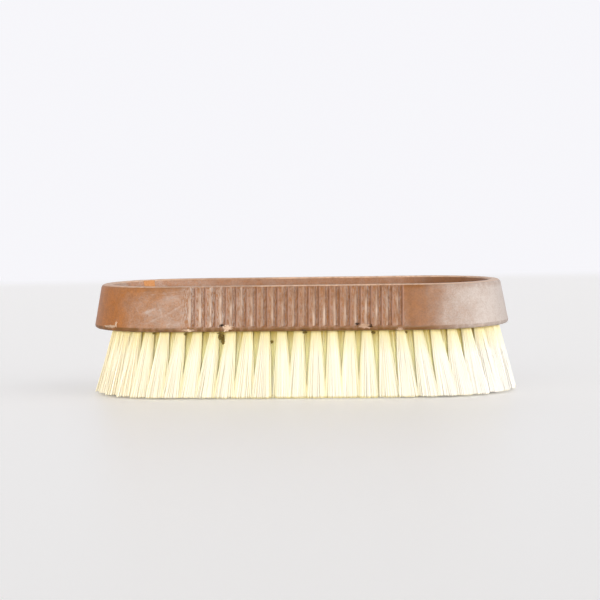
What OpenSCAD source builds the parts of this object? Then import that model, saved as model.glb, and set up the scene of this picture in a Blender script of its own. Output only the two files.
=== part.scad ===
// Oval nail brush, in millimetres.
// One moulded back has a shallow dish on top and fluted grips on its long sides.
// Nylon tufts sit in rings of blind holes drilled in its underside. Each tuft is
// folded over a flat metal anchor that is wedged in the bottom of its hole.
// The brush stands on its bristle tips: X runs along it, Y across it and Z up.

/* [Moulded back] */
// Length over the lower edge
body_l = 105; // [92:1:120]
// Width over the lower edge
body_w = 46; // [42:1:52]
// Height from the underside to the crest of the rim
body_h = 11; // [10.5:0.5:15]
// How far the outer wall leans in over its height
draft = 2.1; // [0.5:0.1:3]
// Width of the rim across its top, measured between sharp corners
rim_w = 2.7; // [2.2:0.1:3.6]
// Rounding of the lower edge
base_r = 0.8; // [0.3:0.1:1]
// Rounding of the rim's outer edge
rim_out_r = 1.1; // [0.4:0.1:1.3]
// Rounding of the rim's inner edge
rim_in_r = 0.7; // [0.3:0.1:0.9]

/* [Dish] */
// Depth below the rim
dish_depth = 4.3; // [3:0.1:4.9]
// How far the dish wall leans in on its way down
dish_lean = 1.3; // [0.3:0.1:2]
// Rounding between the dish wall and its floor
dish_r = 2.2; // [0.8:0.1:2.8]

/* [Grip] */
// Flutes on each long side
flute_n = 21; // [5:2:25]
// Spacing of the flutes
flute_pitch = 2.53; // [2:0.01:2.8]
// Width of one flute where it meets the wall
flute_w = 1.55; // [0.8:0.05:1.8]
// Depth of one flute
flute_d = 0.5; // [0.2:0.05:0.7]
// Plain band left below the flutes
ledge_h = 1.1; // [0.9:0.1:3]

/* [Tuft holes] */
// Diameter of a drilled hole
hole_d = 2.5; // [1.8:0.1:2.9]
// Depth of a drilled hole from the underside
drill_depth = 5; // [4:0.1:5.8]
// Distance from the lower edge to the outer ring of holes
ring_in = 4.8; // [3.8:0.1:5.5]
// Spacing of the holes along a ring
tuft_pitch = 4.16; // [3.8:0.01:5]
// Distance of a ring's first hole from the middle of the near side
ring_start = 0.4; // [0:0.1:1.5]
// Holes in the centre row
centre_n = 11; // [3:2:13]
// How far the drilled field and the flutes sit off the middle of the back, along it
field_shift = 1.1; // [-1.5:0.1:1.5]

/* [Bristles] */
// Length of the bristles below the underside
bristle_l = 16.5; // [10:0.5:24]
// Strands in a tuft of the outer ring
outer_strands = 4; // [3:1:4]
// Strands in any other tuft
inner_strands = 2; // [2:1:4]
// Gap left between two tufts at their tips
tip_gap = 0.5; // [0.4:0.1:1]
// How far the tips lean out at the two ends
end_lean = 3.8; // [0:0.1:6]
// How far the tips lean out at the two long sides
side_lean = 2.2; // [0:0.1:4]
// Half length of the middle stretch that doesn't lean towards an end
calm_l = 10; // [0:1:20]
// Irregular lean of single tufts
stray = 0.15; // [0:0.01:0.15]
// How much shorter the shortest strands are
short_by = 0.4; // [0:0.1:1]

/* [Anchors] */
// Thickness of the flat anchor wire
anchor_t = 0.4; // [0.2:0.05:0.6]
// Width of the anchor wire, which lies along the hole
anchor_h = 1.6; // [1:0.1:2.2]
// Filament folded over the anchor, at the bottom of the hole
fold_h = 0.5; // [0.3:0.1:0.8]

/* [Hidden] */

brown = [0.66, 0.46, 0.34];
cream = [0.98, 0.95, 0.80];
steel = [0.72, 0.72, 0.70];

// Slice of the backing that carries one ring of tufts, flush with the underside
slice_t = 1;
// Backing left outside the outer ring's holes in its slice
slice_margin = 0.5;
// Clearance of a piece in its seat
fit = 0.05;
// How far a piece runs into the solid that it grows from
bite = 0.3;
// Overrun of a cut past the surface that it opens
over = 1;
// Flat steps in one rounded corner of the profile
corner_steps = 6;

rings = 4;
radian = PI / 180;
half_w = body_w / 2;
// The ends are half circles about points this far from the middle
end_x = body_l / 2 - half_w;

pocket_in = ring_in - hole_d / 2 - slice_margin;
row_gap = (half_w - ring_in) / rings;
flute_r = (flute_w * flute_w / 4 + flute_d * flute_d) / (2 * flute_d);
wall_lean = atan(draft / body_h);

root_r = hole_d / 2 - fit;
tip_r = (min(tuft_pitch, row_gap) - tip_gap) / 2;
anchor_z = bristle_l + drill_depth - fold_h - anchor_h;
// Corners of a strand, as shares of the tuft's radius
inner_corner_share = 0.14;
strand_turn_share = 0.44;

// The plan is a stadium: two straight sides and two round ends. A closed line on
// it, such as a ring of holes, is given by the radius r of its ends. Its heading is
// the angle that its outward normal has turned from the near side.

function normal(turn) = [sin(turn), -cos(turn)];
function line_len(r) = 4 * end_x + 2 * PI * r;

// Heading and place at a distance along such a line from the middle of the near side
function line_place(s, r) = let (arc = PI * r)
    s < end_x ? [0, [s, -r]]
    : s < end_x + arc ? let (t = (s - end_x) / r / radian)
        [t, [end_x, 0] + r * normal(t)]
    : s < 3 * end_x + arc ? [180, [2 * end_x + arc - s, r]]
    : s < 3 * end_x + 2 * arc ? let (t = 180 + (s - 3 * end_x - arc) / r / radian)
        [t, [-end_x, 0] + r * normal(t)]
    : [0, [s - 4 * end_x - 2 * arc, -r]];

function unit(v) = v / norm(v);

// Points of the arc that rounds the corner b between a and c
function fillet(a, b, c, r) =
    let (u = unit(a - b), v = unit(c - b), half = acos(u * v) / 2,
         middle = b + unit(u + v) * r / sin(half),
         p = b + u * r / tan(half) - middle, q = b + v * r / tan(half) - middle,
         from = atan2(p.y, p.x), swing = (atan2(q.y, q.x) - from + 540) % 360 - 180)
    [for (i = [0 : corner_steps])
        middle + r * [cos(from + swing * i / corner_steps),
                      sin(from + swing * i / corner_steps)]];

// Section through the moulding: inset from the lower edge, and height above the
// underside
base_corner = [0, 0];
rim_outside = [draft, body_h];
rim_inside = [draft + rim_w, body_h];
dish_foot = [draft + rim_w + dish_lean, body_h - dish_depth];
section = concat(
    [[half_w, 0]],
    fillet([half_w, 0], base_corner, rim_outside, base_r),
    fillet(base_corner, rim_outside, rim_inside, rim_out_r),
    fillet(rim_outside, rim_inside, dish_foot, rim_in_r),
    fillet(rim_inside, dish_foot, [half_w, dish_foot.y], dish_r),
    [[half_w, dish_foot.y]]);

// Sweeps a section of insets and heights round the plan
module sweep_plan(points) {
    for (side = [-1, 1]) translate([side * end_x, 0, 0]) {
        rotate([0, 0, side * -90]) rotate_extrude(angle = 180, $fn = 120)
            polygon([for (p = points) [half_w - p.x, p.y]]);
        rotate([90, 0, side * -90]) linear_extrude(2 * end_x)
            polygon([for (p = points) [half_w - p.x, p.y]]);
    }
}

// Flutes lie along the leaning wall and run out over the rounded rim
module flutes() {
    for (side = [0, 180], k = [0 : flute_n - 1])
        rotate([0, 0, side])
        translate([(k - (flute_n - 1) / 2) * flute_pitch,
                   draft * ledge_h / body_h - half_w, ledge_h])
        rotate([-wall_lean, 0, 0]) translate([0, flute_d - flute_r, 0])
        cylinder(r = flute_r, h = body_h + over, $fn = 32);
}

// Tufts of a ring, or of the centre row after the last ring, each as a heading
// and a place. Every second ring is drilled half a pitch further along.
function ring_r(i) = half_w - ring_in - i * row_gap;
function ring_count(i) = round(line_len(ring_r(i)) / tuft_pitch);
function places(i) = i < rings
    ? [for (k = [0 : ring_count(i) - 1])
        line_place(ring_start + (k + (i % 2) / 2) * line_len(ring_r(i)) / ring_count(i),
                   ring_r(i))]
    : [for (k = [0 : centre_n - 1])
        [0, [(k - (centre_n - 1) / 2) * 2 * end_x / centre_n, 0]]];

// The blind holes, and the shallow step that takes the slices with the tufts
module drilled_field() {
    sweep_plan([[half_w, -over], [pocket_in, -over], [pocket_in, slice_t], [half_w, slice_t]]);
    for (i = [0 : rings], t = places(i))
        translate([t[1].x, t[1].y, slice_t - bite])
        cylinder(d = hole_d, h = drill_depth - slice_t + bite, $fn = 24);
}

module back() {
    color(brown) translate([0, 0, bristle_l]) difference() {
        translate([-field_shift, 0, 0]) sweep_plan(section);
        flutes();
        drilled_field();
    }
}

// How far the tip of a tuft rooted at p lies out from its root
field_w = half_w - ring_in;
field_l = end_x + field_w;
function lean(p) = [sign(p.x) * end_lean * max(0, abs(p.x) - calm_l) / (field_l - calm_l),
                    side_lean * p.y / field_w];

// One strand: a four-sided lock of the tuft that widens from its root to its tip
module strand(p, turn, k, j, n) {
    mid = turn + 360 * (j + 0.5) / n;
    side = 360 * strand_turn_share / n;
    corners = [[inner_corner_share, mid], [1, mid - side], [1, mid], [1, mid + side]];
    rise = max(0, rands(-short_by, short_by, n, k)[j]);
    tip = p + lean(p) + rands(-stray, stray, 2, k);
    top = [for (c = corners) let (q = p + root_r * c[0] * normal(c[1]))
        [q.x, q.y, bristle_l + slice_t / 2]];
    bottom = [for (c = corners) let (q = tip + tip_r * c[0] * normal(c[1]))
        [q.x, q.y, rise]];
    polyhedron(points = concat(top, bottom), faces = concat(
        [[0, 2, 1], [0, 3, 2], [4, 5, 6], [4, 6, 7]],
        [for (i = [0 : 3]) [i, (i + 1) % 4, (i + 1) % 4 + 4]],
        [for (i = [0 : 3]) [i, (i + 1) % 4 + 4, i + 4]]));
}

// The slice of backing round one ring, or along the centre row
module slice(i) {
    outer = i == 0 ? pocket_in + fit : ring_in + (i - 0.5) * row_gap + fit;
    inner = i < rings ? ring_in + (i + 0.5) * row_gap - fit : half_w;
    low = bristle_l;
    high = bristle_l + slice_t - fit;
    sweep_plan([[inner, low], [outer, low], [outer, high], [inner, high]]);
}

module tuft_set(i) {
    n = i == 0 ? outer_strands : inner_strands;
    tufts = places(i);
    difference() {
        union() {
            color(brown) slice(i);
            color(cream) for (t = tufts)
                translate([t[1].x, t[1].y, bristle_l + slice_t - fit - bite])
                cylinder(r = root_r, h = drill_depth - slice_t + bite, $fn = 24);
            color(cream) for (k = [0 : len(tufts) - 1], j = [0 : n - 1])
                strand(tufts[k][1], tufts[k][0], k, j, n);
        }
        for (t = tufts) translate([t[1].x, t[1].y, anchor_z - fit])
            rotate([0, 0, t[0]]) translate([-hole_d / 2, -anchor_t / 2 - fit, 0])
            cube([hole_d, anchor_t + 2 * fit, anchor_h + 2 * fit]);
    }
}

// Flat anchors, one through the fold of each tuft
module anchor_set(i) {
    color(steel) for (t = places(i))
        translate([t[1].x, t[1].y, anchor_z]) rotate([0, 0, t[0]])
        translate([-hole_d / 2 + fit, -anchor_t / 2, 0])
        cube([hole_d - 2 * fit, anchor_t, anchor_h]);
}

module tufts_outer_ring() tuft_set(0);
module tufts_second_ring() tuft_set(1);
module tufts_third_ring() tuft_set(2);
module tufts_fourth_ring() tuft_set(3);
module tufts_centre_row() tuft_set(4);
module anchors_outer_ring() anchor_set(0);
module anchors_second_ring() anchor_set(1);
module anchors_third_ring() anchor_set(2);
module anchors_fourth_ring() anchor_set(3);
module anchors_centre_row() anchor_set(4);

back();
tufts_outer_ring();
tufts_second_ring();
tufts_third_ring();
tufts_fourth_ring();
tufts_centre_row();
anchors_outer_ring();
anchors_second_ring();
anchors_third_ring();
anchors_fourth_ring();
anchors_centre_row();
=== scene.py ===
"""Looks of an oval nail brush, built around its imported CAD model. Lengths are metres."""

import math
from itertools import product

import bpy
import numpy as np
from mathutils import Matrix, Vector, geometry, noise


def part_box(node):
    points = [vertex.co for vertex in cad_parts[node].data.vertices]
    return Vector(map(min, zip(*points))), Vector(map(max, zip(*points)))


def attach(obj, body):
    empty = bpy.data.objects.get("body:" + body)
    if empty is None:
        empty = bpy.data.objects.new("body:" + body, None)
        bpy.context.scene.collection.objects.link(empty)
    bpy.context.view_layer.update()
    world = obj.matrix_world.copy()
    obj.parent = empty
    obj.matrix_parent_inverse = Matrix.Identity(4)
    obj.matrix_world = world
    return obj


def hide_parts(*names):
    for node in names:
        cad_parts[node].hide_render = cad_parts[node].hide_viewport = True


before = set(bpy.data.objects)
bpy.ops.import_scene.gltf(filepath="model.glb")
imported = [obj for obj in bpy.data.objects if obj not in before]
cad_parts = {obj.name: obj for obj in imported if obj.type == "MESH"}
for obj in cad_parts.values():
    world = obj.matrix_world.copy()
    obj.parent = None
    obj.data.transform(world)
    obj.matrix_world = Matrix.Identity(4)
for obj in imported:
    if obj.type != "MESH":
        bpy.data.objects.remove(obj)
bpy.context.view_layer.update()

MM = 0.001
SEED = 7
rng = np.random.default_rng(SEED)
BODY = "root"

# Places from the frame

low, high = (np.array(corner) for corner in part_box("back"))
UNDERSIDE = low[2]
RIM_TOP = high[2]
BACK_X = (low[0] + high[0]) / 2

# Sizes of the back, its flutes, its holes and their rings, as the part has them

DRAFT = 2.1 * MM
RIM_W = 2.7 * MM
BASE_R = 0.8 * MM
RIM_OUT_R = 1.1 * MM
RIM_IN_R = 0.7 * MM
DISH_DEPTH = 4.3 * MM
DISH_LEAN = 1.3 * MM
DISH_R = 2.2 * MM
FLUTE_N = 21
FLUTE_PITCH = 2.53 * MM
FLUTE_W = 1.55 * MM
FLUTE_D = 0.5 * MM
LEDGE_H = 1.1 * MM
HOLE_R = 1.25 * MM
HOLE_DEPTH = 5 * MM
RING_IN = 4.8 * MM
TUFT_PITCH = 4.16 * MM
ROW_GAP = 4.55 * MM


# Small helpers

def smooth(zero_at, one_at, x):
    """A soft step from nought to one, which may also fall along x."""
    t = np.clip((x - zero_at) / (one_at - zero_at), 0, 1)
    return t * t * (3 - 2 * t)


def mesh_object(name, points, faces, material, shade_smooth=True):
    mesh = bpy.data.meshes.new(name)
    mesh.from_pydata(points, [], faces)
    mesh.update()
    if shade_smooth:
        mesh.shade_smooth()
    mesh.materials.append(material)
    piece = bpy.data.objects.new(name, mesh)
    bpy.context.scene.collection.objects.link(piece)
    return piece


def set_values(piece, name, values):
    layer = piece.data.attributes.new(name, "FLOAT", "POINT")
    layer.data.foreach_set("value", np.asarray(values, np.float32))


def set_uv(piece, uv_of_point):
    """A UV map for the bake, given at the mesh's points."""
    mesh = piece.data
    corner = np.empty(len(mesh.loops), np.int32)
    mesh.loops.foreach_get("vertex_index", corner)
    layer = mesh.uv_layers.new(name="OFBake")
    layer.uv.foreach_set("vector", np.asarray(uv_of_point, np.float32)[corner].ravel())


def noise_at(points, size, amount):
    """Smooth noise of about the given feature size, from -amount to amount."""
    return np.array([noise.noise(Vector(p) / size) for p in points]) * amount


# Materials

def rgba(colour):
    """A colour as nodes take it, from a grey value or from red, green and blue."""
    if isinstance(colour, (int, float)):
        colour = (colour, colour, colour)
    return (*colour, 1)


class Shader:
    """The nodes of a material or of the world, added and linked by short calls."""

    def __init__(self, owner, output="OutputMaterial"):
        owner.use_nodes = True
        self.owner = owner
        self.tree = owner.node_tree
        self.tree.nodes.clear()
        self.output = self.node(output).inputs["Surface"]

    def node(self, kind, settings=None, **inputs):
        made = self.tree.nodes.new("ShaderNode" + kind)
        for key, value in (settings or {}).items():
            setattr(made, key, value)
        for key, value in inputs.items():
            self.put(value, made.inputs[key.replace("_", " ")])
        return made

    def put(self, value, socket):
        if isinstance(value, bpy.types.NodeSocket):
            self.tree.links.new(value, socket)
        else:
            socket.default_value = rgba(value) if socket.type == "RGBA" else value

    def join(self, kind, *values, **settings):
        """The output of a node whose inputs take the values in their order."""
        made = self.node(kind, settings)
        for value, socket in zip(values, made.inputs):
            self.put(value, socket)
        return made.outputs[0]

    def math(self, operation, a, b=0.0, clamp=False):
        return self.join("Math", a, b, operation=operation, use_clamp=clamp)

    def times(self, *factors):
        result = factors[0]
        for factor in factors[1:]:
            result = self.math("MULTIPLY", result, factor)
        return result

    def mix(self, factor, a, b, blend="MIX"):
        """A mix of two colours, each a socket, a grey value, or red, green and blue."""
        made = self.node("Mix", {"data_type": "RGBA", "blend_type": blend})
        for place, value in ((0, factor), (6, a), (7, b)):
            self.put(value, made.inputs[place])
        return made.outputs[2]

    def ramp(self, value, stops):
        """The colour at a value, between stops of a place from 0 to 1 and a colour."""
        made = self.node("ValToRGB")
        points = made.color_ramp.elements
        while len(points) < len(stops):
            points.new(0.5)
        for point, (place, colour) in zip(points, stops):
            point.position = place
            point.color = rgba(colour)
        self.put(value, made.inputs[0])
        return made.outputs[0]

    def place(self, scale=(1, 1, 1), turn=(0, 0, 0)):
        """Object coordinates in millimetres, scaled and turned."""
        coord = self.node("TexCoord").outputs["Object"]
        in_mm = self.node("VectorMath", {"operation": "SCALE"}, Vector=coord, Scale=1 / MM)
        return self.node("Mapping", Vector=in_mm.outputs[0], Rotation=turn,
                         Scale=scale).outputs[0]

    def noise(self, place, scale, detail=4.0, roughness=0.55, distortion=0.0):
        return self.node("TexNoise", Vector=place, Scale=scale, Detail=detail,
                         Roughness=roughness, Distortion=distortion).outputs["Fac"]

    def attribute(self, name):
        return self.node("Attribute", {"attribute_name": name}).outputs["Fac"]

    def seen(self):
        """One for what the camera sees, itself or in gloss, and nought for other light."""
        rays = self.node("LightPath").outputs
        return self.math("MAXIMUM", rays["Is Camera Ray"], rays["Is Glossy Ray"])

    def surface(self, **inputs):
        self.put(self.node("BsdfPrincipled", **inputs).outputs[0], self.output)
        return self.owner


def new_material(name):
    return Shader(bpy.data.materials.new(name))


# How the plastic looks along the brush: places in millimetres, with its own brown there, how
# thickly the dried pale film lies on its walls, which towards the right end is also a painted
# sheen, and how unevenly
SPAN = 54
BROWN_ALONG = [(-54, (0.425, 0.133, 0.011)), (-44, (0.384, 0.127, 0.015)),
               (-36, (0.330, 0.118, 0.019)), (-28, (0.300, 0.110, 0.021)),
               (-15, (0.266, 0.099, 0.021)), (24, (0.264, 0.097, 0.020)),
               (28, (0.251, 0.090, 0.017)), (54, (0.283, 0.110, 0.030))]
FILM_AND_SHEEN_ALONG = [(-54, 0.06), (-47, 0.05), (-43, 0.11), (-40, 0.24), (-34, 0.30), (-28, 0.27),
              (-16, 0.20), (-8, 0.12), (8, 0.10), (18, 0.13), (26, 0.12), (27.5, 0.03),
              (31, 0.07), (33.5, 0.21), (35, 0.37), (36.7, 0.54), (39, 0.64), (43, 0.79),
              (48, 0.95), (54, 0.97)]
UNEVEN_ALONG = [(-54, 0.8), (-26, 1.0), (24, 1.0), (30, 0.6), (40, 0.32), (54, 0.28)]
# The film itself, which is paler at the right end, where it is also a painted highlight
FILM_AND_SHEEN_COLOURS = [(38, (0.575, 0.512, 0.466)), (47, (0.680, 0.596, 0.543))]
# Where the grip is, where the film is wiped thin towards the rim, and how scuffed the walls are
GRIP_ALONG = [(-28.5, 0), (-26.5, 1), (26.2, 1), (27.2, 0)]
WIPED_ALONG = [(-45, 0), (-39, 1), (-31, 1), (-26, 0)]
SCUFFED_ALONG = [(-46, 0), (-40, 1), (-30, 1), (-27, 0.2), (27, 0.0), (44, 0.25), (54, 0.5)]
# The share of the film that wiping left, at heights from the underside at 0 to the rim at 1
WIPED_UP = [(0.0, 0.75), (0.25, 1.0), (0.62, 1.0), (0.92, 0.30)]
# How far these bands wander along the brush, in millimetres
WANDER = 9.0
# Mottling of the brown: size, then the half width and the spread of its noise
MOTTLES = [(0.45, 0.16, 0.14), (2.4, 0.14, 0.17)]
# Scuffs: rise of their strokes in degrees, either way, and strength
SCUFFS_RISE = (36, -44)
SCUFFS_STRENGTH = 0.30
# Smears left by wiping on the near wall: middle along X and up from the table, half length,
# half width, rise in degrees, and strength
SMEARS = [(-35.9, 21.7, 2.9, 0.50, 22, 0.95), (-35.4, 21.1, 2.0, 0.85, 0, 0.55),
          (-33.0, 21.4, 1.6, 0.28, -70, 0.75), (-29.9, 21.7, 3.4, 0.42, 31, 0.70),
          (-34.9, 19.4, 2.6, 0.30, 25, 0.60), (-39.2, 22.0, 2.0, 0.25, -56, 0.50),
          (-28.8, 18.4, 2.4, 0.85, 0, 0.60), (-31.4, 24.4, 3.8, 1.10, 8, 0.50),
          (-40.6, 19.6, 3.0, 0.26, 52, 0.35)]
SMEAR_REACH_Y = 12
SMEARS_STRENGTH = 0.25
# The same inside the dish: its film, how dark its painted shade makes it towards the right end,
# and how its brown differs
DISH_FILM_ALONG = [(-54, 0.52), (-40, 0.38), (-34, 0.28), (-25, 0.28), (-15, 0.19), (24, 0.16),
                   (32, 0.06), (54, 0.04)]
DISH_SHADE_ALONG = [(-54, 0.0), (24, 0.02), (31, 0.53), (46, 0.38)]
DISH_TINT = (1.10, 1.06, 1.0)
# The brown of that painted shade in the dish
DISH_SHADE_BROWN = (0.120, 0.050, 0.018)
# Brown and strength of the painted shade in the flutes' hollows
GROOVE_SHADE_BROWN = (0.130, 0.048, 0.016)
GROOVE_SHADE_STRENGTH = 0.95
BARE_STRENGTH = 0.80
# What is painted over the film, in this order: the points' value that says where, its
# strength, and the colour
# Of these, the lines on the flutes and along the crest are film and painted highlights, and the
# foot is dirt and painted shade
PAINTED = [("rib_film_and_highlight", 0.70, (0.422, 0.227, 0.158)), ("edge", 1.0, (0.696, 0.527, 0.411)),
           ("crest", 1.0, (0.823, 0.549, 0.380)), ("foot_dirt_and_shade", 1.0, (0.179, 0.079, 0.019)),
           ("pale", 1.0, (0.654, 0.464, 0.338)), ("dark", 1.0, (0.035, 0.018, 0.010))]


def back_plastic():
    """Aged brown moulding with a dried pale film, wiping marks and worn spots, with painted
    highlights on its edges and right end, and painted shade in its flutes, dish and foot.
    """
    s = new_material("aged_brown_plastic")
    plain = s.place()
    parted = s.node("SeparateXYZ", Vector=plain)
    where = parted.outputs["X"]
    strayed = s.math("SUBTRACT", s.noise(plain, 0.16, 3, 0.5), 0.5)
    wandering = s.math("ADD", where, s.times(strayed, WANDER))

    def along(stops, place):
        span = s.node("MapRange", Value=place, From_Min=-SPAN, From_Max=SPAN).outputs[0]
        return s.ramp(span, [((x + SPAN) / (2 * SPAN), value) for x, value in stops])

    def uneven(noise_value, width, spread):
        """Noise spread evenly about a half."""
        return s.ramp(noise_value, [(0.5 - width, (1 - spread) / 2),
                                    (0.5 + width, (1 + spread) / 2)])

    grip = along(GRIP_ALONG, where)
    dish = s.attribute("dish")
    on_wall = s.math("SUBTRACT", 1.0, dish)
    brown = along(BROWN_ALONG, wandering)
    brown = s.mix(dish, brown, s.mix(1.0, brown, DISH_TINT, "MULTIPLY"))
    for size, width, spread in MOTTLES:
        mottle = uneven(s.noise(plain, size, 5, 0.7), width, spread)
        brown = s.mix(1.0, brown, s.mix(1.0, mottle, 2.0, "MULTIPLY"), "MULTIPLY")
    # Painted shade in the hollows of the flutes
    brown = s.mix(s.times(s.attribute("groove_shade"), GROOVE_SHADE_STRENGTH), brown, GROOVE_SHADE_BROWN)
    # Painted shade towards the dish's right end
    brown = s.mix(s.times(dish, along(DISH_SHADE_ALONG, where)), brown, DISH_SHADE_BROWN)

    # The film, which towards the right end is also a painted sheen: clouded, speckled off the
    # grip, and streaked up and down on it. Each of these averages a half, so the film is doubled
    # for each
    cloud = uneven(s.noise(plain, 0.28, 8, 0.70, 0.3), 0.20, 0.60)
    speckle = uneven(s.noise(plain, 2.6, 5, 0.8), 0.15, 0.40)
    streaks = uneven(s.noise(s.place((4.2, 4.2, 0.12)), 1.0, 4, 0.75), 0.08, 0.95)
    thick = s.mix(dish, along(FILM_AND_SHEEN_ALONG, wandering), along(DISH_FILM_ALONG, wandering))
    patchy = s.mix(dish, along(UNEVEN_ALONG, where), 1.0)
    film_and_sheen = s.times(thick, s.mix(patchy, 0.5, cloud), 4.0)
    plain_wall = s.math("SUBTRACT", 1.0, s.times(grip, on_wall, 0.80))
    film_and_sheen = s.times(film_and_sheen, s.mix(s.times(s.math("SQRT", patchy), plain_wall), 0.5, speckle))
    risen = s.node("MapRange", Value=parted.outputs["Z"], From_Min=UNDERSIDE / MM,
                   From_Max=RIM_TOP / MM).outputs[0]
    wiped = s.times(along(WIPED_ALONG, where), on_wall)
    film_and_sheen = s.times(film_and_sheen, s.mix(wiped, 1.0, s.ramp(risen, WIPED_UP)))
    film_and_sheen = s.times(film_and_sheen, s.mix(s.times(grip, on_wall), 0.5, streaks), 2.0)

    # Scuffs, which are short strokes either way, and smears
    rising, falling = (s.noise(s.place((0.16, 0.16, 1.1), (0, math.radians(rise), 0)),
                               1.3, 4, 0.65, 0.8) for rise in SCUFFS_RISE)
    strokes = s.ramp(s.math("MAXIMUM", rising, falling), [(0.58, 0), (0.70, 1)])
    scuffed = along(SCUFFED_ALONG, where)
    film_and_sheen = s.math("ADD", film_and_sheen, s.times(strokes, scuffed, cloud, SCUFFS_STRENGTH), True)
    fray = s.math("SUBTRACT", s.noise(plain, 1.1, 6, 0.8), 0.5)
    frayed = s.times(fray, 1.6)
    for x, z, half_l, half_w, rise, strength in SMEARS:
        local = s.node("Mapping", {"vector_type": "TEXTURE"}, Vector=plain,
                       Location=(x, -HALF_W / MM, z), Rotation=(0, math.radians(-rise), 0),
                       Scale=(half_l, SMEAR_REACH_Y, half_w)).outputs[0]
        away = s.node("VectorMath", {"operation": "LENGTH"}, Vector=local).outputs["Value"]
        smear = s.ramp(s.math("ADD", away, frayed), [(0.30, strength), (1.0, 0)])
        film_and_sheen = s.math("ADD", film_and_sheen, s.times(smear, on_wall, SMEARS_STRENGTH), True)
    colour = s.mix(film_and_sheen, brown, along(FILM_AND_SHEEN_COLOURS, where))
    colour = s.mix(s.times(s.attribute("bare"), BARE_STRENGTH), colour, brown)
    for name, strength, paint in PAINTED:
        colour = s.mix(s.times(s.attribute(name), strength), colour, paint)

    rough = s.math("ADD", s.times(cloud, 0.18), 0.34)
    fine = s.noise(plain, 5.0, 4, 0.6)
    marks = s.noise(s.place((0.35, 0.35, 6.0), (0, math.radians(-12), 0)), 1.1, 3, 0.5)
    height = s.math("ADD", s.times(fine, 0.5), s.times(marks, 0.5))
    bump = s.node("Bump", Strength=0.35, Distance=0.03 * MM, Height=height)
    return s.surface(Base_Color=colour, Roughness=rough, Specular_IOR_Level=0.25,
                     Normal=bump.outputs[0])


# Nylon: its clean tones, and the painted shade that the sides of a tuft get
CREAM = (0.968, 0.937, 0.835)
WARM_CREAM = (0.962, 0.918, 0.755)
TUFT_SIDE_SHADE = (0.960, 0.910, 0.635)
# Towards the ends: from and to a place along X in millimetres, strength there, and colour.
# The whiter right end is painted light, and the left end a warmer tone
END_TONES_AND_LIGHT = [(14.0, 50.0, 0.90, (0.970, 0.955, 0.930)),
             (-28.0, -50.0, 0.8, (0.955, 0.885, 0.660))]
# Colours that come and go with the height, from the tips at 0 to the underside at 1. The deep
# yellow and the inner roots' colour are painted shade, only for the inner tufts, which show
# between the front ones
DEEP_SHADE = (0.985, 0.960, 0.560)
DEEP_SHADE_UP = [(0.0, 0.25), (0.55, 1.0)]
# A yellow stain towards the roots, in part painted shade under the back
STAIN_AND_SHADE = (0.935, 0.810, 0.320)
STAIN_AND_SHADE_UP = [(0.0, 0.0), (0.62, 0.06), (0.90, 0.50), (1.0, 0.90)]
# Dirt and painted shade just under the back, where the filaments leave it
ROOT_DIRT_AND_SHADE = (0.480, 0.330, 0.090)
ROOT_DIRT_AND_SHADE_UP = [(0.945, 0.0), (0.972, 0.40), (0.988, 0.90)]
INNER_ROOT_SHADE = (0.700, 0.510, 0.095)
INNER_ROOT_SHADE_UP = [(0.76, 0.0), (0.86, 0.35), (0.95, 0.80)]
# A painted contact shadow on the filaments' sides just above the table
TIP_SHADOW = (0.670, 0.570, 0.170)
TIP_SHADOW_UP = [(0.010, 0.92), (0.020, 0.65), (0.040, 0.0)]
# A face that looks down more steeply than this is the cut end of a filament
CUT_FACE_Z = -0.6


def nylon():
    """Cream nylon: whiter to the right as painted light, stained and painted shaded towards the
    roots and on the tufts' sides and inner tufts, each filament its own tone.
    """
    s = new_material("cream_nylon")
    height = s.attribute("height")
    inner = s.attribute("inner")
    where = s.node("SeparateXYZ", Vector=s.place()).outputs["X"]
    colour = s.mix(s.attribute("tone"), CREAM, WARM_CREAM)
    # Painted shade at the sides of each tuft
    colour = s.mix(s.attribute("side"), colour, TUFT_SIDE_SHADE)
    # Painted light, whiter towards the right end, and a warmer tone towards the left
    for start, end, strength, tone in END_TONES_AND_LIGHT:
        near_end = s.node("MapRange", Value=where, From_Min=start, From_Max=end,
                          To_Max=strength).outputs[0]
        colour = s.mix(near_end, colour, tone)
    # Painted shade on the inner tufts that show between the front ones
    colour = s.mix(s.times(inner, s.ramp(height, DEEP_SHADE_UP)), colour, DEEP_SHADE)
    # The stain towards the roots, in part painted shade
    colour = s.mix(s.ramp(height, STAIN_AND_SHADE_UP), colour, STAIN_AND_SHADE)
    # Dirt and painted shade at the roots
    colour = s.mix(s.ramp(height, ROOT_DIRT_AND_SHADE_UP), colour, ROOT_DIRT_AND_SHADE)
    shaded = s.times(inner, s.ramp(height, INNER_ROOT_SHADE_UP))
    colour = s.mix(shaded, colour, INNER_ROOT_SHADE)
    # The last of each filament's side gets a painted contact shadow, and its cut face doesn't
    facing = s.node("SeparateXYZ", Vector=s.node("NewGeometry").outputs["Normal"]).outputs["Z"]
    on_side = s.math("GREATER_THAN", facing, CUT_FACE_Z)
    colour = s.mix(s.times(s.ramp(height, TIP_SHADOW_UP), on_side), colour, TIP_SHADOW)
    return s.surface(Base_Color=colour, Roughness=0.32)


def sticker():
    """Faded orange paper, left bare."""
    s = new_material("orange_paper")
    fibres = s.noise(s.place(), 1.8, 6, 0.7)
    colour = s.ramp(fibres, [(0.35, (0.570, 0.237, 0.079)), (0.65, (0.696, 0.338, 0.132))])
    return s.surface(Base_Color=colour, Roughness=0.7)


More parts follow.
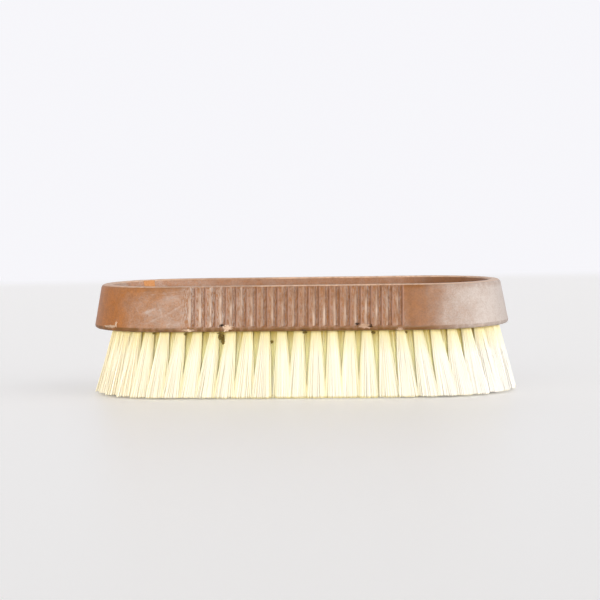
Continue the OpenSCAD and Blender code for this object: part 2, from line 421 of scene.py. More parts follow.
def torn_plastic():
    """The paler inside of the moulding, where its edge is torn."""
    s = new_material("torn_plastic")
    fibres = s.noise(s.place((1, 1, 1.6)), 3.4, 6, 0.75)
    colour = s.ramp(fibres, [(0.34, (0.420, 0.230, 0.120)), (0.48, (0.660, 0.440, 0.280)),
                             (0.66, (0.780, 0.620, 0.460))])
    colour = s.mix(s.attribute("tone"), (0.330, 0.170, 0.095), colour)
    return s.surface(Base_Color=colour, Roughness=0.55)


def grime():
    """Dark crumbs of dirt caught between the roots."""
    s = new_material("dark_grime")
    lumps = s.noise(s.place(), 3.0, 5, 0.7)
    colour = s.ramp(lumps, [(0.35, (0.060, 0.036, 0.006)), (0.65, (0.300, 0.205, 0.035))])
    return s.surface(Base_Color=colour, Roughness=0.8)


def anchor_metal():
    """Drawn flat wire."""
    s = new_material("anchor_wire")
    drawn = s.noise(s.place((1, 1, 12)), 1.2, 4, 0.6)
    colour = s.ramp(drawn, [(0.3, (0.48, 0.47, 0.44)), (0.7, (0.66, 0.65, 0.62))])
    return s.surface(Base_Color=colour, Metallic=1.0,
                     Roughness=s.math("ADD", s.times(drawn, 0.2), 0.25))


# The moulded back: its profile swept round the plan, with flutes, wear and drilled holes

def fillet(a, b, c, radius, steps):
    """Points of the arc that rounds the corner b between a and c."""
    a, b, c = (np.array(p, float) for p in (a, b, c))
    u = (a - b) / np.linalg.norm(a - b)
    v = (c - b) / np.linalg.norm(c - b)
    half = math.acos(u @ v) / 2
    middle = b + (u + v) / np.linalg.norm(u + v) * radius / math.sin(half)
    start = b + u * radius / math.tan(half) - middle
    end = b + v * radius / math.tan(half) - middle
    from_angle = math.atan2(start[1], start[0])
    swing = (math.atan2(end[1], end[0]) - from_angle + math.pi) % (2 * math.pi) - math.pi
    angles = from_angle + swing * np.linspace(0, 1, steps + 1)
    return middle + radius * np.c_[np.cos(angles), np.sin(angles)]


def stretch(a, b, steps):
    """Points between a and b, with neither end."""
    return np.array(a) + np.linspace(0, 1, steps + 1)[1:-1, None] * (np.array(b) - np.array(a))


HEIGHT = RIM_TOP - UNDERSIDE
PLATE_IN = 1.4 * MM
base_corner = (0, 0)
rim_outside = (DRAFT, HEIGHT)
rim_inside = (DRAFT + RIM_W, HEIGHT)
dish_foot = (DRAFT + RIM_W + DISH_LEAN, HEIGHT - DISH_DEPTH)
LOWEST_IN = fillet((1, 0), base_corner, rim_outside, BASE_R, 40)[:, 0].min()
HALF_W = high[1] + LOWEST_IN
END_X = (high[0] - low[0]) / 2 + LOWEST_IN - HALF_W

CHIPPED_H = 2.6 * MM
dish_middle = (HALF_W, dish_foot[1])
base_arc = fillet(dish_middle[:1] + (0,), base_corner, rim_outside, BASE_R, 7)
out_arc = fillet(base_corner, rim_outside, rim_inside, RIM_OUT_R, 8)
in_arc = fillet(rim_outside, rim_inside, dish_foot, RIM_IN_R, 6)
foot_arc = fillet(rim_inside, dish_foot, dish_middle, DISH_R, 6)
above_chips = (DRAFT * CHIPPED_H / HEIGHT, CHIPPED_H)
sections = [
    np.concatenate([[(PLATE_IN, 0)], stretch((PLATE_IN, 0), base_arc[0], 3)]),
    base_arc,
    np.concatenate([stretch(base_arc[-1], above_chips, 12), [above_chips],
                    stretch(above_chips, out_arc[0], 17)]),
    out_arc,
    stretch(out_arc[-1], in_arc[0], 4),
    in_arc,
    np.concatenate([stretch(in_arc[-1], foot_arc[0], 3), foot_arc,
                    stretch(foot_arc[-1], dish_middle, 5), [dish_middle]])]
profile = np.concatenate(sections)
# The sections' numbers, and the section that each row of the profile lies in
PLATE, BASE, WALL, OUT_ARC, LAND, IN_ARC, DISH = range(7)
part_of_row = np.repeat(np.arange(len(sections)), [len(s) for s in sections])

# Stations round the plan: a point of the middle line, and the outward direction there.
# Across half a flute and half a rib they crowd at the arris
half_flute = np.concatenate([
    np.linspace(0, FLUTE_W / 2 - 0.12 * MM, 5), FLUTE_W / 2 + np.linspace(-0.06, 0.06, 4) * MM,
    np.linspace(FLUTE_W / 2 + 0.13 * MM, FLUTE_PITCH / 2, 3)])
across_flute = np.concatenate([-half_flute[:0:-1], half_flute[:-1]])
# The flutes are centred on the frame's origin, which is BACK_X off the back's middle
flute_middles = (np.arange(FLUTE_N) - (FLUTE_N - 1) / 2) * FLUTE_PITCH - BACK_X
grip_half = FLUTE_N / 2 * FLUTE_PITCH
on_grip = np.append((flute_middles[:, None] + across_flute).ravel(), grip_half - BACK_X)
side_x = np.concatenate([np.linspace(-END_X, -grip_half - BACK_X, 6)[:-1], on_grip,
                         np.linspace(grip_half - BACK_X, END_X, 6)[1:]])
END_STEPS = 84
end_turn = np.linspace(0, math.pi, END_STEPS + 1)[1:-1]
station_ax = np.concatenate([side_x, np.full(END_STEPS - 1, END_X),
                             side_x[::-1], np.full(END_STEPS - 1, -END_X)])
turns = np.concatenate([np.zeros(len(side_x)), end_turn,
                        np.full(len(side_x), math.pi), math.pi + end_turn])
station_n = np.c_[np.sin(turns), -np.cos(turns)]


FLUTE_EDGE_WEAR = 0.03 * MM


def off_flute(x):
    """Place across the nearest flute, from its middle, of a place along a straight side."""
    return x - np.clip(np.round(x / FLUTE_PITCH), -(FLUTE_N // 2), FLUTE_N // 2) * FLUTE_PITCH


def flute_depth(x):
    """Depth of the flutes at a place along a straight side, with worn edges."""
    radius = (FLUTE_W ** 2 / 4 + FLUTE_D ** 2) / (2 * FLUTE_D)
    away = np.minimum(np.abs(off_flute(x)), radius)
    depth = np.sqrt(radius ** 2 - away ** 2) - (radius - FLUTE_D)
    return (depth + np.sqrt(depth ** 2 + FLUTE_EDGE_WEAR ** 2)) / 2


def bump_at(x, middle, half):
    """One at the middle, falling off to about a third at the half width."""
    return np.exp(-((x - middle) / half) ** 2)


# Pits and knocks on the near side: place along X, height above the underside, half width,
# half height and how far it stands out, or in where negative, in millimetres, then how pale
# and how dark
SPOTS = [
    (-18.1, 1.50, 0.48, 0.32, -0.50, 0.0, 1.0),
    (15.0, 1.60, 0.48, 0.24, -0.45, 0.0, 1.0),
    (18.3, 1.15, 0.45, 0.30, -0.45, 0.0, 1.0),
    (-46.9, 1.00, 1.60, 0.30, -0.12, 0.5, 0.0),
    (-26.1, 0.40, 1.50, 0.25, 0.10, 0.6, 0.0),
    (25.3, 0.25, 0.90, 0.30, 0.15, 0.7, 0.0),
    (44.6, 0.50, 0.90, 0.25, 0.08, 0.4, 0.0),
    (-33.0, 0.30, 0.60, 0.22, -0.20, 0.0, 0.5),
    (2.0, 0.20, 0.80, 0.25, -0.22, 0.0, 0.6),
]


# Unevenness of the moulding: size and depth of its waves, coarse and fine, then the size of
# its nicks, how much of their noise counts for none, and their depth on rim and lower edge
# in millimetres
COARSE_WAVES = (9 * MM, 0.05 * MM)
FINE_WAVES = (1.7 * MM, 0.018 * MM)
NICK_SIZE = 0.9 * MM
NICK_FROM = 0.32
RIM_NICK = 0.12
BASE_NICK = 0.35
# The share of it that counts inside the rim; then how jagged the edges of the knocks are,
# and where they fade out, as shares of their half sizes
INSIDE_SHARE = 0.6
JAG_SIZE = 0.35 * MM
JAG = 0.8
SPOT_FADE = (0.55, 1.25)

# Lines on the flutes: place across the flute from its middle, and half width. A broad and a
# thin one are of dried film and in part painted highlights, and the hollows beside them get
# painted shade
BROAD_LINE = (-FLUTE_W / 2 + 0.20 * MM, 0.22 * MM)
THIN_LINE = (FLUTE_W / 2 + 0.05 * MM, 0.18 * MM)
LEFT_HOLLOW_SHADE = (-FLUTE_W / 2 + 0.62 * MM, 0.18 * MM)
RIGHT_HOLLOW_SHADE = (FLUTE_W / 2 - 0.26 * MM, 0.15 * MM)
# Strength of the broad lines, and of the line along the rim's crest, at places along X
LINE_AT = [-27, -14, -9, 2, 6, 18, 27]
LINE_STRENGTH = [1.0, 0.90, 0.55, 0.50, 0.80, 0.95, 0.60]
CREST_AT = [-40, -30, -12, -8, 26, 30, 45]
CREST_STRENGTH = [0.80, 0.45, 0.50, 0.95, 0.95, 0.85, 0.80]
# Size of the breaks in these lines, and their stretch up the wall
BREAK_SIZE = 0.8 * MM
BREAK_STRETCH = (1, 1, 0.25)
# The most that an edge is rubbed bare, and how dark the drilled plate is
BARE_MOST = 0.35
PLATE_DARK = 0.25
# Where things come in or go out up the wall: the flutes above their ledge, the lines on them,
# the broad ones that stay low, their fainter top, and the dark foot
LEDGE_RISE = (LEDGE_H - 0.05 * MM, LEDGE_H + 0.20 * MM)
LINES_START = (LEDGE_H, LEDGE_H + 0.3 * MM)
LINES_END = (HEIGHT - 0.15 * MM, HEIGHT - 0.45 * MM)
BROAD_LOW = (9.5 * MM, 3.5 * MM)
BROAD_FAINTER = (HEIGHT - 3.4 * MM, HEIGHT - 2.0 * MM)
FOOT_END = (1.3 * MM, 0.5 * MM)
# The same for the rubbed edges of the right end, up the wall and along X
RUBBED_UP = (HEIGHT - 1.6 * MM, HEIGHT - 0.7 * MM)
RUBBED_TIP = (50.0 * MM, 52.0 * MM)
RUBBED_FROM = (36 * MM, 42 * MM)
# Along X: right of where the broad lines stay low, and where the foot gets paler
BROAD_LOW_X = 4 * MM
FOOT_PALER = (28 * MM, 42 * MM)
# How far down the crest reaches outside, and what still counts as the rim's flat top
CREST_DOWN = 0.20 * MM
TOP_DOWN = 0.05 * MM

# The bake's map: the skin's share of its width, and where the plate starts and how wide it is
SKIN_U = 0.72
PLATE_U = 0.76
PLATE_U_WIDTH = 0.22


def swept_skin(straight):
    """Points of the profile swept round the plan, row by row, and their heights."""
    dip = np.where(straight, flute_depth(BACK_X + station_ax), 0.0)
    inset = np.repeat(profile[:, 0][:, None], len(turns), 1)
    up = np.repeat(profile[:, 1][:, None], len(turns), 1)
    outer = part_of_row <= OUT_ARC
    wall = DRAFT * up / HEIGHT
    above_ledge = smooth(*LEDGE_RISE, up)
    fluted = np.maximum(inset, wall + dip[None, :] * above_ledge)
    inset = np.where(outer[:, None] & (up > LEDGE_H / 2), fluted, inset)
    radius = HALF_W - inset
    x = BACK_X + station_ax[None, :] + radius * station_n[None, :, 0]
    y = radius * station_n[None, :, 1]
    return np.stack([x, y, UNDERSIDE + up], -1).reshape(-1, 3), up.ravel()


def wear(flat, part, still):
    """Moves the skin's points as wear and moulding left them, all but the still ones, and
    says how pale and how dark the knocks made each one."""
    push = noise_at(flat, *COARSE_WAVES) + noise_at(flat, *FINE_WAVES)
    on_rim = (part >= OUT_ARC) & (part <= IN_ARC)
    nicks = np.clip(noise_at(flat, NICK_SIZE, 1.0) - NICK_FROM, 0, None)
    push -= nicks * (on_rim * RIM_NICK + (part == BASE) * BASE_NICK) * MM
    pale, dark = np.zeros(len(flat)), np.zeros(len(flat))
    near = flat[:, 1] < 0
    jagged = noise_at(flat, JAG_SIZE, JAG)
    for along, above, half_l, half_h, out, whiten, darkness in SPOTS:
        across = np.hypot((flat[:, 0] / MM - along) / half_l,
                          ((flat[:, 2] - UNDERSIDE) / MM - above) / half_h)
        share = np.where(near, 1 - smooth(*SPOT_FADE, across + jagged), 0)
        push += share * out * MM * (1 + jagged)
        pale = np.maximum(pale, share * whiten)
        dark = np.maximum(dark, share * darkness)
    inner = part >= IN_ARC
    outward = np.where(inner, -1.0, 1.0)
    push = np.where(still, 0, push * np.where(inner, INSIDE_SHARE, 1.0))
    normal = np.tile(station_n, (len(profile), 1))
    # The rim's flat top moves up and down, and the rest sideways
    sideways = np.where(flat[:, 2] > RIM_TOP - TOP_DOWN, 0.0, 1.0)
    flat[:, :2] += (push * outward * sideways)[:, None] * normal
    flat[:, 2] += push * (1 - sideways)
    return pale, dark


def marks_and_painted_light(flat, up, part, straight):
    """Values of the skin's points for the material: where each mark and each painted highlight
    and shade lies.
    """
    rows_n = len(profile)
    x = flat[:, 0]
    across = np.tile(np.where(straight, off_flute(BACK_X + station_ax), 1.0), rows_n)
    across *= -np.tile(np.sign(station_n[:, 1]), rows_n)
    grip_wall = ((part == WALL) | (part == OUT_ARC)) * np.tile(straight, rows_n)
    grip_wall = grip_wall * smooth(*LINES_START, up) * smooth(*LINES_END, up)
    broken = noise_at(flat * BREAK_STRETCH, BREAK_SIZE, 1.0)

    # Pale lines of film, in part painted highlights, along the edges of each flute
    lined = np.interp(x / MM, LINE_AT, LINE_STRENGTH)
    lowered = np.where(x > BROAD_LOW_X, smooth(*BROAD_LOW, up) * 0.7 + 0.4, 1.0)
    broad = bump_at(across, *BROAD_LINE) * lined * lowered * (0.85 + 1.1 * broken)
    broad *= 1 - 0.45 * smooth(*BROAD_FAINTER, up)
    thin = bump_at(across, *THIN_LINE) * (1.0 + 1.2 * broken)
    # Painted shade in the hollows beside the lines
    hollow_shade = bump_at(across, *LEFT_HOLLOW_SHADE) + 0.8 * bump_at(across, *RIGHT_HOLLOW_SHADE)
    hollow_shade *= 1.0 + 0.8 * broken

    # A pale line of film and painted highlight along the rim's crest
    crest = (part == LAND) | ((part == IN_ARC) & (up > HEIGHT - RIM_IN_R / 2))
    crest = crest | ((part == OUT_ARC) & (up > HEIGHT - CREST_DOWN))
    crest = crest * np.interp(x / MM, CREST_AT, CREST_STRENGTH) * (0.85 + 0.5 * broken)
    # The foot: darker on the underside and up the lower wall, with dirt and painted shade
    foot_dirt_and_shade = np.isin(part, (PLATE, BASE)) * 0.9
    foot_dirt_and_shade += (part == WALL) * smooth(*FOOT_END, up) * 0.55
    foot_dirt_and_shade *= np.clip(0.85 + broken, 0, 1) * (1 - 0.6 * smooth(*FOOT_PALER, x))
    bare = smooth(*RUBBED_UP, up) + smooth(*RUBBED_TIP, x)
    bare = bare * (0.5 + broken) * smooth(*RUBBED_FROM, x)
    return {
        "edge": np.clip(broad * grip_wall, 0, 1),
        "rib_film_and_highlight": np.clip(thin * grip_wall, 0, 1),
        "groove_shade": np.clip(hollow_shade * grip_wall, 0, 1),
        "crest": np.clip(crest, 0, 1),
        "foot_dirt_and_shade": foot_dirt_and_shade,
        "bare": np.clip(bare, 0, BARE_MOST) * (part <= OUT_ARC),
        "dish": (part == DISH) | (part == IN_ARC),
    }


def moulded_back(material):
    """The back: its swept and worn skin, closed below by the drilled plate."""
    turns_n, rows_n = len(turns), len(profile)
    straight = np.abs(station_n[:, 0]) < 1e-6
    skin, up = swept_skin(straight)
    rows = np.repeat(np.arange(rows_n), turns_n)
    part = part_of_row[rows]
    pale, dark = wear(skin, part, (rows == 0) | (rows == rows_n - 1))
    marks = {"pale": pale, "dark": dark, **marks_and_painted_light(skin, up, part, straight)}

    lower = np.arange(rows_n * turns_n).reshape(rows_n, turns_n)
    a, b = lower[:-1], lower[1:]
    quads = np.stack([a, np.roll(a, -1, 1), np.roll(b, -1, 1), b], -1).reshape(-1, 4)
    plate_points, plate_faces = drilled_plate(skin[:turns_n])
    # The plate's outline is the skin's first row, and its other points follow the skin's
    shift = len(skin) - turns_n
    faces = quads.tolist()
    for face in plate_faces:
        faces.append([i if i < turns_n else i + shift for i in face])
    points = np.concatenate([skin, plate_points])
    back = mesh_object("moulded_back", points.tolist(), faces, material)
    for name, values in marks.items():
        on_plate = PLATE_DARK if name == "dark" else 0.0
        set_values(back, name, np.append(values, np.full(len(plate_points), on_plate)))

    steps = np.r_[0, np.cumsum(np.linalg.norm(np.diff(profile, axis=0), axis=1))]
    skin_uv = np.c_[SKIN_U * steps[rows] / steps[-1],
                    np.tile(np.arange(turns_n) / turns_n, rows_n)]
    across_plate = plate_points[:, 1] / (2 * HALF_W) * PLATE_U_WIDTH
    plate_uv = np.c_[PLATE_U + across_plate + PLATE_U_WIDTH / 2,
                     0.5 + plate_points[:, 0] / (2 * (END_X + HALF_W))]
    set_uv(back, np.concatenate([skin_uv, plate_uv]))
    return back


HOLE_SIDES = 14


def drilled_plate(outline):
    """The underside inside the given outline, with a blind hole for every tuft. Faces count
    their points from the outline's first, then the new points."""
    circle = 2 * math.pi * np.arange(HOLE_SIDES) / HOLE_SIDES
    ring = HOLE_R * np.c_[np.cos(circle), np.sin(circle)]
    flat = [outline[:, :2]] + [t[:2] + ring for t in tuft_places]
    flat = np.concatenate(flat)
    n = len(outline)
    borders = [list(range(n))]
    starts = [n + k * HOLE_SIDES for k in range(len(tuft_places))]
    borders += [list(range(start, start + HOLE_SIDES)) for start in starts]
    edges = [(b[i], b[(i + 1) % len(b)]) for b in borders for i in range(len(b))]
    made = geometry.delaunay_2d_cdt([Vector(p) for p in flat], edges, [], 0, 1e-7)
    spots = np.array([tuple(v) for v in made[0]])
    origin = [o[0] for o in made[3]]
    faces = []
    for face in made[2]:
        middle = spots[list(face)].mean(0)
        from_axis = middle[0] - BACK_X - np.clip(middle[0] - BACK_X, -END_X, END_X)
        inside = math.hypot(from_axis, middle[1]) < HALF_W - PLATE_IN
        drilled = (np.linalg.norm(tuft_places[:, :2] - middle, axis=1) < HOLE_R * 0.95).any()
        if inside and not drilled:
            faces.append([origin[i] for i in face][::-1])
    points = np.c_[flat[n:], np.full(len(flat) - n, UNDERSIDE)]
    top = np.c_[flat[n:], np.full(len(flat) - n, UNDERSIDE + HOLE_DEPTH)]
    deep = len(points)
    for b in borders[1:]:
        for i in range(HOLE_SIDES):
            p, q = b[i], b[(i + 1) % HOLE_SIDES]
            faces.append([p, q, q + deep, p + deep])
        faces.append([i + deep for i in b])
    return np.concatenate([points, top]), faces


# Tufts

def places_of(node):
    """The middle of each anchor in a node of anchors, which is the axis of its tuft."""
    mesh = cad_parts[node].data
    points = np.array([v.co for v in mesh.vertices])
    parent = list(range(len(points)))

    def root(i):
        while parent[i] != i:
            parent[i] = parent[parent[i]]
            i = parent[i]
        return i

    same = {}
    for i, p in enumerate(np.round(points / (0.001 * MM)).astype(int).tolist()):
        parent[root(i)] = root(same.setdefault(tuple(p), i))
    for e in mesh.edges:
        parent[root(e.vertices[0])] = root(e.vertices[1])
    groups = {}
    for i in range(len(points)):
        groups.setdefault(root(i), []).append(i)
    boxes = [(points[g].min(0) + points[g].max(0)) / 2 for g in groups.values()]
    return np.array(sorted(boxes, key=lambda b: math.atan2(b[1], b[0])))


RINGS = ["outer_ring", "second_ring", "third_ring", "fourth_ring", "centre_row"]
ring_places = {ring: places_of("anchors_" + ring) for ring in RINGS}
tuft_places = np.concatenate([ring_places[ring] for ring in RINGS])

# Lean of the tufts along the brush, in degrees, at places along it in millimetres
LEAN_AT = [-48, -38, -17, -13, -9, -4, 14, 21, 27, 33, 40, 48]
LEAN_DEG = [-12, -9.0, -8, -6, -3, 0, 0, 5, 8, 10.5, 11.5, 12]
SIDE_LEAN_DEG = 7.5
FREE_LENGTH = UNDERSIDE
FILAMENTS = 80
FILAMENT_R = 0.13 * MM
FILAMENT_SIDES = 5
# Rings of points along a filament, as shares of its free length; the first is in its hole
RING_SHARES = [None, 0.0, 0.42, 1.0]
GOLDEN = math.pi * (3 - math.sqrt(5))
# The filaments' depth in their hole, and the radius that they fill there
ROOT_DEPTH = 2.6 * MM
ROOT_R = HOLE_R - FILAMENT_R * 1.2
SQUARED_SHARE = 0.8
# Splayed tips stand off the table by this many times the rise of a straight filament
TIP_RISE = 1.2
# The gap between two front tufts that stands open down to the tips
SLIT_X = 2.7 * MM
SLIT_PUSH = 0.30 * MM
SLIT_REACH = TUFT_PITCH * 0.75
# Scatter: of a tuft's lean, its fan's width, the tips' places and their trim; then the share
# of loose filaments, and how much further those stray and how much shorter they are
LEAN_SCATTER_DEG = 0.7
FAN_SCATTER = 0.05
TIP_SCATTER = 0.10 * MM
TRIM_SCATTER = 0.09 * MM
TUFT_TRIM_SCATTER = 0.03 * MM
LOOSE_SHARE = 0.04
LOOSE_SCATTER = 0.6 * MM
LOOSE_SHORT = 0.5 * MM
# Mean and scatter of how late a filament leans, and of how early it fans out
LATE_LEAN = (0.10, 0.08)
EARLY_FAN = (0.20, 0.12)
# How far a tuft's tips reach in among its neighbour's
MEET = 0.45 * MM
TONES = (0.03, 0.97)
# Shares of a tuft's radius, left or right, between which its filaments take the painted
# shade of its sides
SIDE_SHADE_SHARES = (0.45, 1.0)


def tips_middle(x, y, ring):
    """How far the middle of a tuft's tips is from the middle of its hole, along X and Y."""
    lean = np.interp(x / MM, LEAN_AT, LEAN_DEG) + rng.normal(0, LEAN_SCATTER_DEG)
    side = SIDE_LEAN_DEG * y / (HALF_W - RING_IN) + rng.normal(0, LEAN_SCATTER_DEG)
    middle = np.array([FREE_LENGTH * math.tan(math.radians(lean)),
                       FREE_LENGTH * math.tan(math.radians(side))])
    if abs(x - SLIT_X) < SLIT_REACH and y < 0 and ring == "outer_ring":
        middle[0] += math.copysign(SLIT_PUSH, x - SLIT_X)
    return middle


def tuft(x, y, ring):
    """A tuft's filaments: points of their axes, ring by ring, how far each one is at the
    tuft's side, which sets its painted shade, and its tone."""
    middle = tips_middle(x, y, ring)
    order = np.arange(FILAMENTS)
    turn = order * GOLDEN + rng.uniform(0, 2 * math.pi)
    share = np.sqrt((order + 0.5) / FILAMENTS)
    root = ROOT_R * share[:, None] * np.c_[np.cos(turn), np.sin(turn)]
    spread = np.array([TUFT_PITCH / 2 + MEET, ROW_GAP / 2]) / (HOLE_R - FILAMENT_R) - 1
    # A round tuft fans out to a square one, which fills the room between its neighbours
    square = 1 / np.maximum(np.abs(np.cos(turn)), np.abs(np.sin(turn)))
    fan = root * spread * (1 + SQUARED_SHARE * (square - 1))[:, None]
    fan *= rng.normal(1, FAN_SCATTER)
    fan += rng.normal(0, TIP_SCATTER, root.shape)
    loose = rng.random(FILAMENTS) < LOOSE_SHARE
    fan += loose[:, None] * rng.normal(0, LOOSE_SCATTER, root.shape)
    out = math.hypot(middle[0], middle[1] / 2) / FREE_LENGTH
    trim = np.abs(rng.normal(0, TRIM_SCATTER, FILAMENTS))
    trim += abs(rng.normal(0, TUFT_TRIM_SCATTER))
    trim += FREE_LENGTH * (1 - math.cos(math.atan(out))) * TIP_RISE
    trim += loose * rng.uniform(0, LOOSE_SHORT, FILAMENTS)
    bend = rng.normal(*LATE_LEAN, FILAMENTS)
    quick = rng.normal(*EARLY_FAN, FILAMENTS)
    tone = rng.uniform(*TONES, FILAMENTS)
    axes = []
    for t in RING_SHARES:
        if t is None:
            spot, z = root, np.full(FILAMENTS, UNDERSIDE + ROOT_DEPTH)
        else:
            leant = t * (1 - bend) + bend * t * t
            fanned = t * (1 + quick) - quick * t * t
            spot = root + leant[:, None] * middle + fanned[:, None] * fan
            z = UNDERSIDE + t * (trim - UNDERSIDE)
        axes.append(np.c_[spot + (x, y), z])
    return axes, smooth(*SIDE_SHADE_SHARES, np.abs(share * np.cos(turn))), tone


def filaments(ring, material):
    """A ring of tufts, in which each filament is a closed form of its own."""
    tufts = [tuft(x, y, ring) for x, y, _ in ring_places[ring]]
    axes, side_shade, tone = (np.array(values) for values in zip(*tufts))
    rings, count = len(RING_SHARES), len(tufts) * FILAMENTS
    axes = axes.transpose(0, 2, 1, 3).reshape(count, rings, 1, 3)
    angles = 2 * math.pi * np.arange(FILAMENT_SIDES) / FILAMENT_SIDES
    angles = rng.uniform(0, 2 * math.pi, (count, 1)) + angles
    around = FILAMENT_R * np.stack([np.cos(angles), np.sin(angles), angles * 0], -1)
    skin = (axes + around[:, None]).reshape(-1, 3)
    grid = np.arange(count * rings * FILAMENT_SIDES).reshape(count, rings, FILAMENT_SIDES)
    a, b = grid[:, :-1], grid[:, 1:]
    quads = np.stack([a, b, np.roll(b, -1, -1), np.roll(a, -1, -1)], -1).reshape(-1, 4)
    faces = quads.tolist() + grid[:, -1, ::-1].tolist() + grid[:, 0].tolist()
    piece = mesh_object("filaments_" + ring, skin.tolist(), faces, material, False)

    tone, side_shade = (np.repeat(v.ravel(), rings * FILAMENT_SIDES) for v in (tone, side_shade))
    height = np.repeat(np.clip(axes[..., 2].ravel() / UNDERSIDE, 0, 1), FILAMENT_SIDES)
    set_values(piece, "tone", tone)
    set_values(piece, "height", height)
    # How much painted shade each filament gets at its tuft's side
    set_values(piece, "side", side_shade)
    set_values(piece, "inner", np.full(len(skin), 0.0 if ring == "outer_ring" else 1.0))
    side_share = np.tile(np.arange(FILAMENT_SIDES) / FILAMENT_SIDES, count * rings)
    set_uv(piece, np.c_[tone + 0.02 * (side_share - 0.5), 0.01 + 0.98 * height])
    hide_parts("tufts_" + ring)
    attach(piece, BODY)


# Small things: torn flakes on the lower edge, paper in the dish and dirt between the roots

# Flakes: place along X, height above the underside, half length and half height in
# millimetres, and paleness
FLAKES = [(-47.9, 1.10, 0.90, 0.20, 0.8), (-46.2, 1.20, 0.90, 0.30, 0.9),
          (-45.0, 1.70, 0.30, 0.60, 1.0), (-26.1, 0.45, 1.10, 0.24, 0.9),
          (-16.3, 0.95, 1.15, 0.66, 1.0), (16.7, 1.12, 1.20, 0.46, 0.35),
          (25.3, 0.25, 0.45, 0.25, 0.7)]
FLAKE_CORNERS = 36
FLAKE_THICK = 0.16 * MM
FLAKE_SUNK = 0.05 * MM
FLAKE_BEVEL = 0.10 * MM
# Depth and size of a flake's roughness, and how far its foot curls out
FLAKE_ROUGH = (0.07 * MM, 0.3 * MM)
FLAKE_CURL = 0.12 * MM
# How torn its outline is: amount and fineness of each wave, and its shift from flake to flake
FLAKE_WAVES = [(0.8, 2.6, (0, 0, 7.3)), (0.8, 8.0, (0, 0, 3.1))]


def swollen(place, waves, k):
    """About one, by waves of noise at a place, in the pattern that belongs to k."""
    value = 1
    for amount, fineness, shift in waves:
        value += amount * noise.noise(place * fineness + Vector([k * s for s in shift]))
    return value


def on_wall(x, above, out):
    """A point of the near outer wall, moved outwards."""
    radius = HALF_W - DRAFT * above / HEIGHT + out
    ax = x - BACK_X - np.clip(x - BACK_X, -END_X, END_X)
    return x, -math.sqrt(radius ** 2 - ax ** 2), UNDERSIDE + above


def flakes(material):
    """Torn bits of the lower edge, curled outwards at the bottom."""
    points, faces, paleness = [], [], []
    n = FLAKE_CORNERS
    for k, (along, above, half_l, half_h, pale) in enumerate(FLAKES):
        start = len(points)
        for lift, ring_share, i in product((-FLAKE_SUNK, FLAKE_THICK), (0.5, 1.0), range(n)):
            turn = 2 * math.pi * i / n
            round_it = Vector((math.cos(turn), math.sin(turn), 0))
            torn = swollen(round_it, FLAKE_WAVES, k) if ring_share == 1.0 else 1
            share = ring_share * torn
            x = (along + half_l * share * math.cos(turn)) * MM
            z = (above + half_h * share * math.sin(turn)) * MM
            rough = FLAKE_ROUGH[0] * noise.noise(Vector((x, z, k)) / FLAKE_ROUGH[1])
            curl = FLAKE_CURL * max(0.0, -math.sin(turn)) * ring_share
            out = lift
            if lift > 0:
                out = lift + (rough + curl) - FLAKE_BEVEL * (ring_share == 1.0)
            points.append(on_wall(x, z, out))
            paleness.append(pale)
        inner_low, outer_low, inner_top, outer_top = (start + n * i for i in range(4))
        for i in range(n):
            j = (i + 1) % n
            faces.append((inner_top + i, inner_top + j, outer_top + j, outer_top + i))
            faces.append((outer_top + i, outer_top + j, outer_low + j, outer_low + i))
            faces.append((outer_low + i, outer_low + j, inner_low + j, inner_low + i))
        faces.append([inner_top + n - 1 - i for i in range(n)])
        faces.append([inner_low + i for i in range(n)])
    piece = mesh_object("torn_flakes", points, faces, material, False)
    set_values(piece, "tone", paleness)
    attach(piece, BODY)


# The scrap of paper: from and to where round the left end, and down from the rim
PATCH_TURN = (math.radians(215.0), math.radians(225.5))
PATCH_DOWN = (0.15 * MM, 2.9 * MM)
PATCH_THICK = 0.07 * MM
PATCH_TEAR = 0.18 * MM
PATCH_OFF_WALL = 0.06 * MM


def paper_scrap(material):
    """A torn bit of paper on the far wall of the dish, near its left end."""
    across, down = 14, 10
    points, faces = [], []
    for layer, j, i in product(range(2), range(down + 1), range(across + 1)):
        torn = PATCH_TEAR * noise.noise(Vector((i * 0.9, j * 0.9, 3.7)))
        drop = PATCH_DOWN[0] + (PATCH_DOWN[1] - PATCH_DOWN[0]) * j / down
        drop += torn * (j in (0, down))
        turn = PATCH_TURN[0] + (PATCH_TURN[1] - PATCH_TURN[0]) * i / across
        turn += torn / HALF_W * 1.5 * (i in (0, across))
        inset = DRAFT + RIM_W + DISH_LEAN * drop / DISH_DEPTH
        radius = HALF_W - inset - PATCH_OFF_WALL - PATCH_THICK * layer
        radius -= max(0.0, RIM_IN_R / 3 - drop)
        points.append((BACK_X - END_X + radius * math.sin(turn),
                       -radius * math.cos(turn), RIM_TOP - drop))
    row, sheet = across + 1, (across + 1) * (down + 1)
    for j, i in product(range(down), range(across)):
        a = j * row + i
        faces.append((a, a + 1, a + 1 + row, a + row))
        faces.append((a + sheet, a + row + sheet, a + 1 + row + sheet, a + 1 + sheet))
    border = list(range(across)) + [across + j * row for j in range(down)]
    border += [down * row + across - i for i in range(across)]
    border += [(down - j) * row for j in range(down)]
    for p, q in zip(border, border[1:] + border[:1]):
        faces.append((q, p, p + sheet, q + sheet))
    piece = mesh_object("paper_scrap", points, faces, material)
    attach(piece, BODY)


